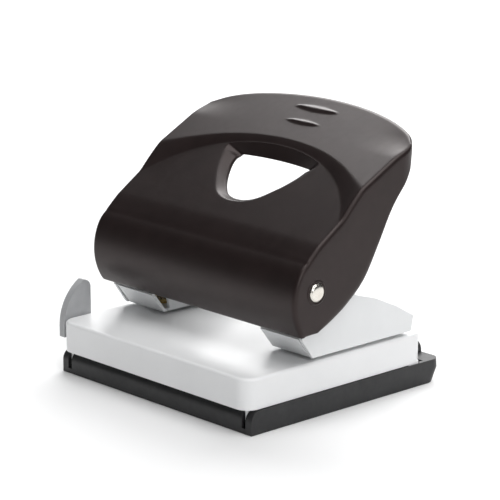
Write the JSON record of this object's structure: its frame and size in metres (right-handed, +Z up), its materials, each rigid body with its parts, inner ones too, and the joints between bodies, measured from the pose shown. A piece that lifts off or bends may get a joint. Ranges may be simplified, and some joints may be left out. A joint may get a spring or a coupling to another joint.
{
  "type": "hole punch",
  "caption": "Desk punch for two filing holes: arched lever handle with a finger cut-out, steel brackets over a boxed base, sliding paper guide and chip tray.",
  "frame": {"origin": "on the resting plane, midway between the two punch axes", "axes": "+Z up, +Y to the rear where the hand presses, +X along the row of holes, to the right of a person in front"},
  "size_m": [0.1108, 0.0972, 0.0992],
  "materials": {
    "white_steel": "light grey powder coat, satin",
    "bracket_steel": "light grey coated steel, satin",
    "handle_plastic": "warm black, semi-gloss moulded",
    "black_plastic": "black, matt moulded",
    "grey_plastic": "mid grey, satin moulded",
    "nylon": "natural nylon",
    "zinc_steel": "zinc plated",
    "nickel_steel": "nickel plated",
    "hard_steel": "ground, hardened",
    "spring_steel": "drawn wire",
    "brass": "turned"
  },
  "bodies": {
    "base": {"base_plate": "white_steel", "left_bracket": "bracket_steel", "right_bracket": "bracket_steel", "bracket_rivets": "zinc_steel", "left_guide_bush": "brass", "right_guide_bush": "brass", "left_guide_bridge": "zinc_steel", "right_guide_bridge": "zinc_steel", "guide_channel": "black_plastic", "tray_pivot_pins": "zinc_steel"},
    "handle": {"handle_shell": "handle_plastic", "press_lever": "zinc_steel", "axle": "nickel_steel", "axle_cap": "nickel_steel", "axle_washers": "nylon"},
    "left_punch": {"left_punch_pin": "hard_steel", "left_retaining_clip": "spring_steel", "left_spring_washer": "zinc_steel", "left_spring": "spring_steel"},
    "right_punch": {"right_punch_pin": "hard_steel", "right_retaining_clip": "spring_steel", "right_spring_washer": "zinc_steel", "right_spring": "spring_steel"},
    "guide": {"paper_guide": "grey_plastic"},
    "tray": {"chip_tray": "black_plastic"}
  },
  "joints": [
    {"name": "handle_hinge", "type": "hinge", "parent": "base", "child": "handle", "pos_m": [0, -0.0125, 0.0467], "axis": [-1, 0, 0], "range_deg": [0, 27], "stiffness_Nm_per_rad": 0.5625, "springref_deg": -18.33},
    {"name": "left_punch_slide", "type": "slide", "parent": "base", "child": "left_punch", "axis": [0, 0, -1], "range_m": [0, 0.006], "deforming": ["left_spring"]},
    {"name": "right_punch_slide", "type": "slide", "parent": "base", "child": "right_punch", "axis": [0, 0, -1], "range_m": [0, 0.006], "deforming": ["right_spring"]},
    {"name": "guide_slide", "type": "slide", "parent": "base", "child": "guide", "axis": [-1, 0, 0], "range_m": [0, 0.088]},
    {"name": "tray_hinge", "type": "hinge", "parent": "base", "child": "tray", "pos_m": [0, -0.0365, 0.0046], "axis": [-1, 0, 0], "range_deg": [0, 60]}
  ],
  "couplings": [
    {"joint": "left_punch_slide", "follows": "handle_hinge", "m_per_rad": 0.0125},
    {"joint": "right_punch_slide", "follows": "handle_hinge", "m_per_rad": 0.0125}
  ]
}
